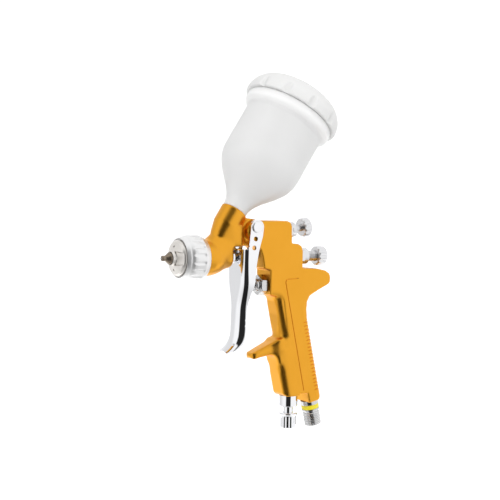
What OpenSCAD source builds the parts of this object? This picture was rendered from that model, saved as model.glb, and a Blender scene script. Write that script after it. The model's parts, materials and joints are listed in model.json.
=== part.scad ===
// Mini gravity-feed spray gun, built as separate parts around one forged body.
// Gun axes: the needle lies along X, the nozzle points to -X, the cup is above (+Z).
// The drawn model is moved so that its origin is the centre of the air inlet's end.

/* [Origin] */
// Distance of the air inlet's end behind the gun's reference line
inlet_x = 59.2; // [56:0.1:62]
// Height of the needle axis above the air inlet's end
inlet_drop = 131.6; // [128:0.1:135]
// Lean of the air inlet and of the grip's rear edge from the vertical
inlet_lean = 12.5; // [10:0.5:15]

/* [Body] */
// Half of the body's thickness
body_half = 10; // [9.5:0.1:10.4]
// Radius of the barrel just behind the air cap ring
barrel_r = 13.5; // [13:0.1:13.8]
// Front end of the barrel, behind the reference line
barrel_front = -43; // [-43.5:0.1:-42.5]
// Rear end of the barrel, where the packing nut sits
barrel_rear = -19.5; // [-20:0.1:-19]
// Radius of the boss that the cup screws into
boss_r = 10; // [9.8:0.1:11]
// Radius of the boss around the trigger pivot
pivot_boss_r = 7.5; // [6.5:0.1:8]

/* [Cup] */
// Lean of the cup from the vertical
cup_lean = 33; // [31:0.5:35]
// Outer radius of the cup's straight wall
cup_r = 31; // [30:0.1:31.5]
// Wall of the cup
cup_wall = 1.6; // [1.2:0.1:2]
// Distance from the boss rim to the cup's mouth
cup_height = 97.5; // [96:0.5:98]
// Outer radius of the cup's threaded spigot
spigot_r = 8.25; // [8:0.05:8.5]
// Outer radius of the lid
lid_r = 38; // [37:0.1:38.5]
// Number of grip grooves round the lid
lid_grooves = 11; // [8:1:14]

/* [Nozzle] */
// Outer radius of the air cap ring over its flutes
ring_r = 16.85; // [16.5:0.05:17.2]
// Number of flutes on the air cap ring
ring_flutes = 18; // [16:1:24]
// Radius of the air cap's face
cap_r = 13.2; // [13:0.1:13.4]
// Radius of the fluid tip's nose
nose_r = 2; // [1.8:0.05:2.2]

/* [Trigger] */
// Height of the trigger pivot above the needle axis
pivot_z = 22.7; // [22:0.1:23.5]
// Trigger pivot along the gun
pivot_x = -3.4; // [-3.8:0.1:-3]
// Thickness of the trigger's sheet
sheet = 1.8; // [1.5:0.1:2]
// Half of the trigger's width over its arms
trigger_half = 13; // [12.8:0.1:13.4]
// Half of the trigger's width at its finger end
finger_half = 9; // [8.5:0.1:10]

/* [Valves] */
// Depth of the air valve's axis below the needle axis
air_valve_drop = 21.4; // [21:0.1:22]
// Upward tilt of the spreader valve
spreader_tilt = 9; // [7:0.5:11]
// Radius of the fluid and spreader knobs over their flutes
knob_r = 7.4; // [7:0.1:7.6]
// Radius of the valve stems
stem_r = 2; // [1.9:0.05:2.1]
// Radial running clearance between a stem and its bore
run = 0.05; // [0.03:0.01:0.08]

/* [Air inlet] */
// Major radius of the quarter inch pipe thread
inlet_thread_r = 6.58; // [6.5:0.01:6.6]
// Length of the inlet's thread
inlet_thread_l = 10.5; // [10:0.5:11]

/* [Hidden] */

gold = [0.93, 0.62, 0.14];
chrome = [0.86, 0.87, 0.89];
satin = [0.76, 0.76, 0.77];
bronze = [0.45, 0.38, 0.30];
milk = [0.93, 0.93, 0.92];
black = [0.12, 0.12, 0.12];
yellow = [0.92, 0.84, 0.10];

$fn = 64;

// Rim of the cup boss on the cup's axis, in gun axes
rim = [-16.1, 0, 34.6];
// Foot of the grip and the start of the air inlet
foot_z = -107;
grip_foot_x = 44;
// Front and rear of the upper grip's section, measured from the foot across the lean
grip_front = -11;
grip_rear = 15.7;
airflow_x = 35.5;
air_bore_top = 44;
// Front face of the trigger's plate at the needle, and the faces that it pushes
plate_front = -14.4;
collar_front = plate_front + sheet + 0.35;
valve_push = plate_front + sheet - 0.05;
knob_front = 57.5;
knob_back = 65.3;
housing_back = 49.2;

// ---- placing ----

module gun_frame() {
    translate([-inlet_x, 0, inlet_drop]) children();
}

// z of the children runs rearward along the needle axis
module along_x() {
    rotate([0, 90, 0]) children();
}

module cup_frame() {
    translate(rim) rotate([0, cup_lean, 0]) children();
}

module spreader_frame() {
    translate([30, 0, 19.4]) rotate([0, 90 - spreader_tilt, 0]) children();
}

module air_valve_frame() {
    translate([0, 0, -air_valve_drop]) along_x() children();
}

// z of the children runs down, out of the inlet's end
module inlet_frame() {
    translate([inlet_x, 0, -inlet_drop]) rotate([0, 180 - inlet_lean, 0]) children();
}

// z of the children runs down from the foot of the grip
module airflow_frame() {
    translate([airflow_x, 0, foot_z]) rotate([180, 0, 0]) children();
}

// ---- shapes that repeat ----

module rod(from, to, r) {
    translate([0, 0, from]) cylinder(h = to - from, r = r);
}

module taper(from, to, r1, r2) {
    translate([0, 0, from]) cylinder(h = to - from, r1 = r1, r2 = r2);
}

module tube(from, to, r, bore) {
    difference() {
        rod(from, to, r);
        rod(from - 1, to + 1, bore);
    }
}

module hexagon(from, to, across) {
    translate([0, 0, from]) cylinder(h = to - from, r = across / sqrt(3), $fn = 6);
}

// A plate in the XZ plane, from y = -half to y = half
module slab(half) {
    rotate([90, 0, 0]) translate([0, 0, -half]) linear_extrude(2 * half) children();
}

// Grooves round a knob or ring, cut between two stations of its axis
module flutes(count, at_r, r, from, to) {
    for (k = [0 : count - 1]) {
        rotate([0, 0, k * 360 / count]) translate([at_r, 0, 0]) rod(from, to, r);
    }
}

function ring_points(c, u, v, r, sides) =
    [for (k = [0 : sides - 1]) c + r * (cos(k * 360 / sides) * u + sin(k * 360 / sides) * v)];

// One ring of wire at turn angle a of a coil
function coil_ring(a, mean_r, wire_r, pitch, sides) =
    ring_points([mean_r * cos(a), mean_r * sin(a), pitch * a / 360],
                [cos(a), sin(a), 0], [0, 0, 1], wire_r, sides);

module coil(from, to, mean_r, wire_r, turns) {
    sides = 6;
    per_turn = 14;
    steps = turns * per_turn;
    pitch = (to - from - 2 * wire_r) / turns;
    points = [for (i = [0 : steps])
              each coil_ring(i * 360 / per_turn, mean_r, wire_r, pitch, sides)];
    walls = [for (i = [0 : steps - 1], k = [0 : sides - 1])
             let (n = (k + 1) % sides, a = i * sides, b = (i + 1) * sides)
             each [[a + k, b + k, a + n], [a + n, b + k, b + n]]];
    first = [for (k = [0 : sides - 1]) k];
    last = [for (k = [sides - 1 : -1 : 0]) steps * sides + k];
    translate([0, 0, from + wire_r]) polyhedron(points, concat([first], walls, [last]));
}

// ---- body ----

// Side outline of the rear body and grip, clockwise from the top front
module grip_outline() {
    polygon([
        [-5, 27.3], [25.5, 27.2], [28.4, 26], [29.7, 23], [29.9, 10.2], [35.6, 9.8],
        [38.6, 8.2], [40.1, 4.5], [40.1, -8.8], [54, -9.4], [61.5, -11], [65.2, -13.4],
        [66, -15.5], [66, -19.6], [64.6, -21.6], [54.5, -26.2], [49.6, -29.6],
        [46.9, -34.2], [46.1, -40], [46.8, -46.5], [59.8, -106.6], [59.4, -109.6],
        [57.4, -111.4], [48.9, -113.2], [47.1, -105.4], [39.9, -105.4], [39.4, foot_z],
        [28.6, foot_z], [25.9, -104.9], [19.6, -77.8], [18.2, -75.4], [15.6, -74.5],
        [3.4, -76.6], [0.4, -77], [-2, -75.8], [-2.4, -74], [-1.2, -72.7], [8, -68.6],
        [17.2, -64.6], [21.1, -61.4], [22, -57.6], [20.2, -44], [17.6, -33],
        [15.6, -29.8], [10.9, -28.6], [10.9, -9.6], [5.4, -8.2], [3.6, 1], [1.6, 6],
        [-3, 9.4], [-5, 12]
    ]);
}

// Section of the grip, square to its length: round front, softly rounded rear
module grip_section(front, rear, inset = 0) {
    r_front = 8.5;
    r_rear = 4.5;
    half = body_half - inset;
    for (s = [-1, 1]) {
        translate([front + r_front, s * (body_half - r_front)]) circle(r = r_front - inset);
        translate([rear - r_rear, s * (body_half - r_rear)]) circle(r = r_rear - inset);
    }
    translate([front + r_front, -half]) square([rear - r_rear - front - r_front, 2 * half]);
    translate([front + inset, -body_half + r_front])
        square([rear - front - 2 * inset, 2 * (body_half - r_front)]);
    translate([front + r_front, -body_half + r_rear])
        square([rear - inset - front - r_front, 2 * (body_half - r_rear)]);
}

// z of the children runs up along the grip's lean, from its foot
module grip_frame() {
    translate([grip_foot_x, 0, foot_z]) rotate([0, -inlet_lean, 0]) children();
}

// The grip's section swept along its lean, from one height above the foot to another
module grip_stretch(front, rear, from, to) {
    grip_frame() translate([0, 0, from]) linear_extrude(to - from) grip_section(front, rear);
}

// Narrow above the finger hook, deeper below it, and flaring rearward under the tail
module grip_envelope() {
    grip_stretch(grip_front, grip_rear, 38, 84);
    grip_stretch(-18.9, grip_rear, -12, 40);
    grip_stretch(grip_front, grip_rear + 0.9, 60, 84);
    grip_stretch(grip_front, grip_rear + 2.3, 66, 84);
    grip_stretch(grip_front, grip_rear + 5, 71, 84);
}

// The finger hook, a tapering tongue that is rounded in plan
module hook_envelope() {
    translate([0, 0, -82]) linear_extrude(20) {
        translate([4, 0]) circle(r = 6.2);
        polygon([[3, -6.1], [15, -6.7], [21, -9.2], [30, -10], [30, 10], [21, 9.2],
                 [15, 6.7], [3, 6.1]]);
    }
}

// Everything above the neck keeps the full thickness
module upper_envelope() {
    translate([-30, -body_half, -30]) cube([110, 2 * body_half, 78]);
}

module barrel() {
    along_x() rotate_extrude() polygon([
        [0, barrel_front - 9], [12, barrel_front - 9], [12, barrel_front],
        [barrel_r, barrel_front], [barrel_r, -38], [12.7, -34], [11.5, -30.4],
        [9.7, -27], [8.5, -24], [8, barrel_rear], [0, barrel_rear]
    ]);
}

module cup_boss() {
    cup_frame() rod(-13.5, 0, boss_r);
    hull() {
        cup_frame() translate([0, 0, -13]) cylinder(h = 2, r = boss_r - 0.1, $fn = 32);
        cup_frame() translate([0.6, 0, -24]) cylinder(h = 2, r = 7.9, $fn = 32);
        translate([-17, 0, 8]) cylinder(h = 20, r = 5, $fn = 32);
        translate([-19, -8.5, 8]) cube([6.4, 17, 14]);
    }
    hull() {
        along_x() translate([0, 0, -40]) cylinder(h = 4, r = 12.8, $fn = 32);
        cup_frame() translate([0.8, 0, -27]) cylinder(h = 2, r = 7.8, $fn = 32);
        translate([-26, -8, 4]) cube([6, 16, 6]);
    }
}

// Web that carries the head and the trigger pivot
module web() {
    slab(5.2) polygon([[-24, 30], [-6, 29], [6, 27.3], [6, 8], [-4, 8.6], [-16, 8], [-24, 8]]);
    translate([pivot_x, 0, pivot_z - 3]) rotate([90, 0, 0]) {
        translate([0, 0, -11]) cylinder(h = 22, r = pivot_boss_r);
    }
    slab(body_half) polygon([[pivot_x, 27.3], [8, 27.3], [8, 9], [2, 9], [pivot_x, 14]]);
}

module body_solids() {
    barrel();
    cup_boss();
    web();
    intersection() {
        slab(body_half) grip_outline();
        union() {
            grip_envelope();
            hook_envelope();
            upper_envelope();
        }
    }
    along_x() rod(28, 40.1, 8.6);
}

// Shallow grooves: the panel line in the side faces and the ribs round the grip's rear
module side_grooves() {
    line_w = 0.7;
    depth = 0.5;
    rib_count = 20;
    rib_pitch = 2.82;
    rib_top = 55.2;
    for (s = [-1, 1]) {
        translate([30.2, s * body_half, -16.6]) cube([11.6, 2 * depth, line_w], center = true);
        translate([24.6, s * body_half, -20]) rotate([0, -inlet_lean, 0]) {
            translate([0, -depth, -84]) cube([line_w, 2 * depth, 84]);
        }
    }
    for (k = [0 : rib_count - 1]) {
        grip_frame() translate([0, 0, rib_top - k * rib_pitch]) linear_extrude(0.8) difference() {
            translate([grip_rear - 6, -body_half - 1]) square([8, 2 * body_half + 2]);
            grip_section(grip_front, grip_rear, depth);
        }
    }
}

module body_bores() {
    along_x() {
        rod(barrel_front - 10, -49, 9.05);
        rod(barrel_front - 10, -31, 7.2);
        rod(-32, -26, 3.6);
        rod(-27, barrel_rear + 1, 4);
        rod(0, 12, stem_r + run);
        rod(11, 41, 6.2);
    }
    air_valve_frame() rod(0, air_bore_top, 6.5);
    spreader_frame() rod(-16, 3, 5);
    airflow_frame() rod(-26, 1, 5);
    inlet_frame() rod(-40, -17, 5.4);
    inlet_frame() rod(-108, -35, 3);
    // side passage from the airflow valve to the grip's main passage
    translate([airflow_x, 0, -83]) along_x() rod(0, 13, 2.5);
    cup_frame() rod(-14, 1, spigot_r + run);
    cup_frame() rod(-36, -13, 5);
    translate([pivot_x, 0, pivot_z]) rotate([90, 0, 0]) rod(-12, 12, 2.55);
    // air passages from the air valve up to the spreader valve and to the head
    translate([22, 8.2, -17]) rod(0, 36, 1.2);
    for (z = [-17, 19]) {
        translate([22, 0, z]) rotate([-90, 0, 0]) rod(0, 9, 1.2);
    }
    for (s = [-1, 1]) {
        translate([-60, s * 9.6, 0]) along_x() rod(0, 26, 1.4);
    }
}

module gun_body() {
    color(gold) gun_frame() difference() {
        body_solids();
        body_bores();
        side_grooves();
    }
}

// ---- head ----

module fluid_tip() {
    color(bronze) gun_frame() along_x() rotate_extrude() polygon([
        [0.75, -76.4], [1.5, -76.4], [nose_r, -76], [nose_r, -73.3], [4.4, -70.5],
        [4.4, -59.6], [5.2, -58.8], [5.2, -55], [9, -52], [9, -49], [7.1, -49],
        [7.1, -40], [3, -40], [3, -66], [0.75, -73.6]
    ]);
}

// Trough that is left between the two horns, from the central boss out to the rim
module cap_trough() {
    intersection() {
        along_x() rotate_extrude() polygon([
            [5.3, -72], [5.5, -66.2], [12.2, -64.6], [15, -64.1], [15, -72]
        ]);
        slab(20) polygon([[-72, -7], [-64, -3.9], [-64, 3.9], [-72, 7]]);
    }
}

module air_cap() {
    hole_r = 4.7;
    horn_hole_r = 0.8;
    color(chrome) gun_frame() difference() {
        along_x() rotate_extrude() polygon([
            [hole_r, -69.4], [5.2, -69.4], [5.4, -67.6], [11.9, -65.2], [cap_r, -63.6],
            [cap_r, -60.2], [13.85, -60.2], [13.85, -56.4], [11.4, -53.6], [10.4, -53.6],
            [9.4, -56], [5.6, -60], [hole_r, -60]
        ]);
        cap_trough();
        for (s = [-1, 1]) {
            translate([-66.4, 0, s * 8.6]) rotate([0, 90 + s * 35, 0]) rod(-4, 4, horn_hole_r);
        }
    }
}

module air_cap_ring() {
    color(satin) gun_frame() along_x() difference() {
        rotate_extrude() polygon([
            [14, -62.4], [14.6, -62.8], [15.5, -60.2], [15.6, -59.4], [16.5, -57],
            [ring_r, -55], [ring_r, -47.6], [15.8, -45.4], [14.8, -43.3], [12.05, -43.3],
            [12.05, -52.2],
            [14, -52.2], [14, -60.3], [14.9, -60.3], [14.9, -61.5], [14, -61.5]
        ]);
        flutes(ring_flutes, ring_r + 1.5, 2.1, -59, -48.6);
    }
}

module air_cap_clip() {
    color(chrome) gun_frame() along_x() tube(-61.4, -60.4, 14.75, 13.35);
}

module air_separator() {
    color(black) gun_frame() along_x() tube(-53.2, -52.1, 11.8, 9.3);
}

module separator_seal() {
    color(black) gun_frame() along_x() tube(-54.2, -53.3, 9.9, 9.2);
}

// ---- needle ----

module fluid_needle() {
    tail = 48;
    color(chrome) gun_frame() along_x() rotate_extrude() polygon([
        [0, -77.4], [0.62, -76.6], [0.7, -73.4], [stem_r, -66.5], [stem_r, collar_front],
        [5.2, collar_front], [5.2, -8.8], [stem_r, -8.8], [stem_r, 12.4], [4.2, 12.4],
        [4.2, 14], [1.5, 14], [1.5, tail - 0.6], [0.9, tail], [0, tail]
    ]);
}

module needle_packing() {
    color(milk) gun_frame() along_x() tube(-25.9, -23.6, 3.9, stem_r + run);
}

module packing_spring() {
    color(satin) gun_frame() along_x() coil(-23.5, -20.9, 3.1, 0.35, 2);
}

module packing_nut() {
    color(chrome) gun_frame() along_x() difference() {
        union() {
            rod(-20.8, -19.4, 3.9);
            hexagon(-19.4, -17.2, 9.5);
            rod(-17.2, -15.7, 3.4);
        }
        rod(-22, -15, stem_r + run);
    }
}

// ---- cup ----

function bezier(a, b, c, d, t) =
    pow(1 - t, 3) * a + 3 * pow(1 - t, 2) * t * b + 3 * (1 - t) * t * t * c + pow(t, 3) * d;

// Radius and height of the funnel between the neck and the straight wall
function funnel(inset, steps) = [for (i = [0 : steps])
    bezier([9.4 - inset, 0.5], [9.6 - inset, 16 + inset], [cup_r - inset, 24 + inset],
           [cup_r - inset, 43], i / steps)];

function reversed(list) = [for (i = [len(list) - 1 : -1 : 0]) list[i]];

band_r = 35.2;
band_from = 77;
band_to = 87.6;

module cup() {
    steps = 14;
    outside = concat([[spigot_r, -11.5], [spigot_r, 0.5]], funnel(0, steps),
                     [[cup_r, band_from], [cup_r + 0.9, band_from + 2], [band_r - 1, band_from + 4],
                      [band_r, band_from + 5.4], [band_r, band_to],
                      [cup_r + 0.1, band_to], [cup_r + 0.1, cup_height]]);
    inside = concat([[cup_r - cup_wall, cup_height]], reversed(funnel(cup_wall, steps)),
                    [[6.9, 0.5], [6.9, -11.5]]);
    color(milk) gun_frame() cup_frame() rotate_extrude($fn = 96) polygon(concat(outside, inside));
}

module cup_filter() {
    color(milk) gun_frame() cup_frame() difference() {
        union() {
            rod(-11, 8, 6.85);
            rod(2.5, 4, 7.4);
        }
        rod(-12, 5.5, 5.9);
        for (k = [0 : 7]) {
            rotate([0, 0, k * 45]) translate([0, -1.2, -8]) cube([8, 2.4, 9]);
        }
    }
}

lid_bottom = 88;
lid_top = 107.6;
lid_inside_top = 99.2;

// A domed lid over the cup's mouth, with shallow grip grooves down its side
module cup_lid() {
    groove_r = 3;
    color(milk) gun_frame() cup_frame() difference() {
        rotate_extrude($fn = 96) polygon([
            [0, lid_bottom], [37.2, lid_bottom], [lid_r, lid_bottom + 0.8], [lid_r, 92],
            [37.1, 95.4], [35.6, 98.4], [33.4, 101.4], [30.4, 104.2], [26, 106.3],
            [20, lid_top - 0.3], [15, lid_top], [14, lid_top - 1.4], [0, lid_top - 1.4]
        ]);
        flutes(lid_grooves, lid_r + 1.6, groove_r, lid_bottom - 1, lid_top);
        rod(lid_bottom - 1, lid_inside_top, 31.5);
        rod(lid_inside_top - 1, lid_top, 6.05);
    }
}

module lid_gasket() {
    color(milk) gun_frame() cup_frame() tube(cup_height + 0.3, lid_inside_top - 0.1, 31.3, 27.5);
}

module lid_vent_plug() {
    color(milk) gun_frame() cup_frame() difference() {
        union() {
            rod(98, lid_top - 1.4, 6);
            rod(lid_top - 1.4, lid_top - 0.2, 7.6);
        }
        rod(97, lid_top - 3, 4.2);
        rod(lid_top - 4, lid_top + 1, 0.8);
    }
}

// ---- trigger ----

// Profile of the trigger's front face, top to lip, moved rearward by t
function plate_line(t) = [
    [plate_front + t, 6.2], [-14.9 + t, -20], [-15.6 + t, -40], [-16.4 + t, -55],
    [-17.4 + t, -60.4], [-19.4 + t, -64.2 - 0.3 * t], [-22.4 + 0.6 * t, -67 - 0.8 * t],
    [-25.3 + 0.3 * t, -69.2 - t]
];

module trigger_outline() {
    polygon(concat(
        [[pivot_x - 5.6, pivot_z], [-9.9, 13], [-10.8, 6.2]],
        plate_line(0),
        [[-24.8, -71.1], [-18.4, -69.2], [-13.4, -66.4], [-10.6, -62.6], [-9.6, -58],
         [-9.1, -46], [-8.8, -38], [-7.2, -28], [-4.9, -20], [-3.6, -6], [-1.4, 6],
         [pivot_x + 5.6, pivot_z]]
    ));
    translate([pivot_x, pivot_z]) circle(r = 5.6);
}

// Space between the arms, open to the rear
module trigger_hollow() {
    polygon(concat(plate_line(sheet), [[10, -74], [30, -60], [30, 40], [-30, 40], [-30, 6.2]]));
}

// Front view of the trigger, inset by t: wide arms, narrow finger end
module trigger_front(t) {
    wide = trigger_half - t;
    narrow = finger_half - t;
    polygon([
        [-wide, 40], [-wide, -20], [-wide + 0.5, -23], [-narrow - 0.5, -35], [-narrow, -38],
        [-narrow, -80], [narrow, -80], [narrow, -38], [narrow + 0.5, -35],
        [wide - 0.5, -23], [wide, -20], [wide, 40]
    ]);
}

module seen_from_front(t) {
    translate([-60, 0, 0]) rotate([90, 0, 90]) linear_extrude(120) trigger_front(t);
}

module trigger() {
    slot_half = 3.2;
    hole_r = 1.8;
    color(chrome) gun_frame() difference() {
        intersection() {
            slab(trigger_half) trigger_outline();
            seen_from_front(0);
        }
        intersection() {
            slab(trigger_half) trigger_hollow();
            seen_from_front(sheet);
        }
        translate([-30, -slot_half, 0]) cube([20, 2 * slot_half, 10]);
        along_x() rod(-30, -10, slot_half);
        for (at = [[pivot_x, pivot_z, 2.5 + run], [-4.8, 14, hole_r], [-6, 7.4, hole_r]]) {
            translate([at[0], 0, at[1]]) rotate([90, 0, 0]) rod(-20, 20, at[2]);
        }
    }
}

module pivot_axis() {
    translate([pivot_x, 0, pivot_z]) rotate([90, 0, 0]) children();
}

module trigger_stud() {
    color(chrome) gun_frame() pivot_axis() difference() {
        union() {
            rod(13.1, 14.2, 4.4);
            rod(-10.4, 13.1, 2.5);
        }
        rod(-11, -2, 1.55);
    }
}

module trigger_screw() {
    color(chrome) gun_frame() pivot_axis() difference() {
        union() {
            rod(-14.2, -13.1, 4.4);
            rod(-13.1, -10.5, 2.5);
            rod(-10.5, -3, 1.5);
        }
        translate([0, 0, -14]) cube([6, 0.9, 1.2], center = true);
    }
}

// ---- air valve ----

module air_valve_nut() {
    color(chrome) gun_frame() air_valve_frame() difference() {
        union() {
            taper(2.2, 2.8, 4.6, 5);
            rod(2.8, 5.2, 5);
            hexagon(5.2, 10.7, 14);
            rod(10.7, 19, 6.45);
        }
        rod(1, 20, stem_r + run);
        rod(13, 20, 3.6);
    }
}

module air_valve_packing() {
    color(black) gun_frame() air_valve_frame() tube(13.1, 15.4, 3.5, stem_r + run);
}

module air_valve_stem() {
    color(chrome) gun_frame() air_valve_frame() rotate_extrude() polygon([
        [0, valve_push], [1.2, valve_push], [stem_r, valve_push + 1], [stem_r, 24.2],
        [1.5, 24.2], [1.5, 33], [1.1, 33.5], [0, 33.5]
    ]);
}

module air_valve_poppet() {
    color(black) gun_frame() air_valve_frame() tube(24.2, 26.4, 4.6, 1.5);
}

module air_valve_seat() {
    color(chrome) gun_frame() air_valve_frame() difference() {
        rod(19.1, 24.1, 6.4);
        rod(18, 25, 3.4);
        translate([0, 0, 21.6]) rotate([0, 90, 0]) rod(-10, 10, 1.4);
    }
}

module air_valve_spring() {
    color(satin) gun_frame() air_valve_frame() coil(26.5, air_bore_top - 0.1, 3.2, 0.45, 7);
}

// ---- fluid adjustment ----

module needle_spring() {
    color(satin) gun_frame() along_x() coil(14.1, 33.9, 3.1, 0.45, 8);
}

module spring_pad() {
    color(black) gun_frame() along_x() tube(34, 35.9, 4, 1.6);
}

module needle_housing() {
    color(chrome) gun_frame() along_x() difference() {
        union() {
            rod(28, 40.2, 6.15);
            hexagon(40.2, 44.6, 12.6);
            rod(44.6, housing_back - 0.6, 6.2);
            taper(housing_back - 0.6, housing_back, 6.2, 5.6);
        }
        rod(27, 34.6, 4.5);
        rod(30, housing_back + 1, 4.05);
    }
}

module fluid_screw() {
    color(satin) gun_frame() along_x() difference() {
        rod(36, knob_back - 2, 4);
        rod(35, 56, 2.6);
    }
}

// A knurled cap, open at the end that faces the gun
module valve_knob(r, length, bore, depth) {
    difference() {
        union() {
            taper(0, 0.8, r - 0.8, r);
            rod(0.8, length - 0.8, r);
            taper(length - 0.8, length, r, r - 0.8);
        }
        rod(-1, depth, bore);
        flutes(12, r + 1, 1.7, -1, length + 1);
    }
}

module fluid_knob() {
    color(satin) gun_frame() along_x() translate([0, 0, knob_front]) {
        valve_knob(knob_r, knob_back - knob_front, 4 + run, knob_back - knob_front - 1.9);
    }
}

// ---- spreader valve ----

spreader_knob_front = 14;
spreader_knob_length = 6.6;

module spreader_bushing() {
    color(chrome) gun_frame() spreader_frame() difference() {
        union() {
            rod(-9.5, 0.6, 4.95);
            hexagon(0.6, 4, 11);
            rod(4, 7, 5.8);
            taper(7, 7.6, 5.8, 5.2);
        }
        rod(-10, 9, stem_r + 0.6 + run);
    }
}

module spreader_stem() {
    color(chrome) gun_frame() spreader_frame() {
        taper(-13.4, -10, 1.2, 2.6);
        rod(-10, spreader_knob_front + 4.6, stem_r + 0.6);
    }
}

module spreader_seal() {
    color(black) gun_frame() spreader_frame() tube(-11.2, -9.7, 4.7, 2.9);
}

module spreader_knob() {
    color(satin) gun_frame() spreader_frame() translate([0, 0, spreader_knob_front]) {
        valve_knob(knob_r - 0.1, spreader_knob_length, stem_r + 0.6 + run, 4.7);
    }
}

// ---- airflow valve ----

airflow_knob_top = 13.6;

module airflow_bushing() {
    color(chrome) gun_frame() airflow_frame() difference() {
        union() {
            rod(-12, 0, 4.95);
            rod(0.05, 8.2, 7.2);
            taper(8.2, 8.8, 7.2, 6.6);
            rod(-0.1, 0.1, 4.9);
        }
        rod(-13, 9, 3.7 + run);
    }
}

module airflow_stem() {
    color(chrome) gun_frame() airflow_frame() {
        taper(-18, -12, 1.4, 3.7);
        rod(-12, airflow_knob_top + 8, 3.7);
    }
}

module airflow_seal() {
    color(black) gun_frame() airflow_frame() tube(-13.6, -12.1, 4.8, 3.8);
}

module airflow_knob() {
    color(chrome) gun_frame() airflow_frame() translate([0, 0, airflow_knob_top]) difference() {
        union() {
            taper(0, 0.5, 6.6, 7.05);
            rod(0.5, 1.4, 7.05);
            taper(1.4, 2.2, 7.05, 6.3);
            rod(2.2, 11.2, 6.3);
            taper(11.2, 11.8, 6.3, 5.7);
        }
        rod(-1, 8.1, 3.7 + run);
        flutes(10, 7.2, 1.35, 2.4, 13);
    }
}

// ---- air inlet ----

module air_inlet() {
    color(chrome) gun_frame() inlet_frame() difference() {
        union() {
            rod(-32, -20, 5.3);
            rod(-20, -16.6, 6.9);
            rod(-16.6, -13.1, 6);
            rod(-13.1, -11.8, 6.9);
            rod(-11.8, -inlet_thread_l, 5.7);
            rod(-inlet_thread_l, 0, inlet_thread_r);
        }
        rod(-33, 1, 3.2);
    }
}

module colour_ring() {
    color(yellow) gun_frame() inlet_frame() tube(-16.55, -13.15, 6.85, 6.02);
}

gun_body();
fluid_tip();
air_cap();
air_cap_ring();
air_cap_clip();
air_separator();
separator_seal();
fluid_needle();
needle_packing();
packing_spring();
packing_nut();
cup();
cup_filter();
cup_lid();
lid_gasket();
lid_vent_plug();
trigger();
trigger_stud();
trigger_screw();
air_valve_nut();
air_valve_packing();
air_valve_stem();
air_valve_poppet();
air_valve_seat();
air_valve_spring();
needle_spring();
spring_pad();
needle_housing();
fluid_screw();
fluid_knob();
spreader_bushing();
spreader_stem();
spreader_seal();
spreader_knob();
airflow_bushing();
airflow_stem();
airflow_seal();
airflow_knob();
air_inlet();
colour_ring();
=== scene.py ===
"""Looks of a mini gravity-feed spray gun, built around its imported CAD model."""
import json
import math

import bmesh
import bpy
import numpy as np
from mathutils import Matrix, Vector


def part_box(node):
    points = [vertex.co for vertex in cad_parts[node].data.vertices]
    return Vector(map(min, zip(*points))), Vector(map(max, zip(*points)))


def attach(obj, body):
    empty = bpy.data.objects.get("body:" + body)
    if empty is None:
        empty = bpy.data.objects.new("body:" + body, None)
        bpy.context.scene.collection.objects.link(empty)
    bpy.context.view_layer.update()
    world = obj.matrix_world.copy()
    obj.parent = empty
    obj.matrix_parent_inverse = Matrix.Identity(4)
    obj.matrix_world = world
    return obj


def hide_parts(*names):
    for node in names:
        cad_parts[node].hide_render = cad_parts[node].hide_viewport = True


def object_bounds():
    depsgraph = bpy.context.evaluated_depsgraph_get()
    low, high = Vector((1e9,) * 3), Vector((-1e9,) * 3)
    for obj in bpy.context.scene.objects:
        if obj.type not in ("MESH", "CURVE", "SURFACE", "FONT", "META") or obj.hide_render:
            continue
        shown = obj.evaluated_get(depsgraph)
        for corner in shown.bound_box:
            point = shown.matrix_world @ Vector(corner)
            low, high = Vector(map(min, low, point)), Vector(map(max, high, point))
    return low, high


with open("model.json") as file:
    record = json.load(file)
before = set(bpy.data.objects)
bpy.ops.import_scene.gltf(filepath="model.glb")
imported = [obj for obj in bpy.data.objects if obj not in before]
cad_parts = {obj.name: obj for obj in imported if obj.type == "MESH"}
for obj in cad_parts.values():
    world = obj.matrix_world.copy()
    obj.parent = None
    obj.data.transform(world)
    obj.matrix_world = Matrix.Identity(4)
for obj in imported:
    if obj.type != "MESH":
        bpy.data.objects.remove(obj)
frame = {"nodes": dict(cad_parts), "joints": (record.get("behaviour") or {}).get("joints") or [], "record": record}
CAD_LOW, CAD_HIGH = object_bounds()
MM = 0.001
JOINTS = {joint["name"]: joint for joint in frame["joints"]}

BODY_OF = {node: body for body, nodes in frame["record"]["behaviour"]["bodies"].items()
           for node in nodes}
SLOT_OF = {part["node"]: part["material_slot"] for part in frame["record"]["subparts"]}

# ---- places, all from the frame ----


def pivot_of(name):
    return Vector(JOINTS[name]["pos_m"])


def axis_of(name):
    return Vector(JOINTS[name]["axis"]).normalized()


def middle(node):
    low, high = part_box(node)
    return (low + high) / 2


def looking_along(origin, axis):
    """Matrix whose z runs along axis from origin, and whose x stays in the gun's mid-plane."""
    z = axis.normalized()
    y = Vector((0, 1, 0))
    x = y.cross(z).normalized()
    return Matrix((
        (x.x, y.x, z.x, origin.x), (x.y, y.y, z.y, origin.y),
        (x.z, y.z, z.z, origin.z), (0, 0, 0, 1)))


PIVOT = pivot_of("trigger_pull")
PIVOT_BEHIND_LINE = -3.4 * MM
# The gun's reference point: on the needle's axis, at the line that stations are counted from
GUN = Vector((PIVOT.x - PIVOT_BEHIND_LINE, 0, middle("fluid_needle").z))
NEEDLE_AXIS = looking_along(GUN, Vector((1, 0, 0)))
CUP_AXIS = looking_along(pivot_of("cup_unscrew"), axis_of("cup_unscrew"))
VALVE_AXIS = looking_along(Vector((GUN.x, 0, middle("air_valve_stem").z)), Vector((1, 0, 0)))
INLET_AXIS = looking_along(Vector((0, 0, 0)), Vector(frame["record"]["mounts"][0]["axis"]))
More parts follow.
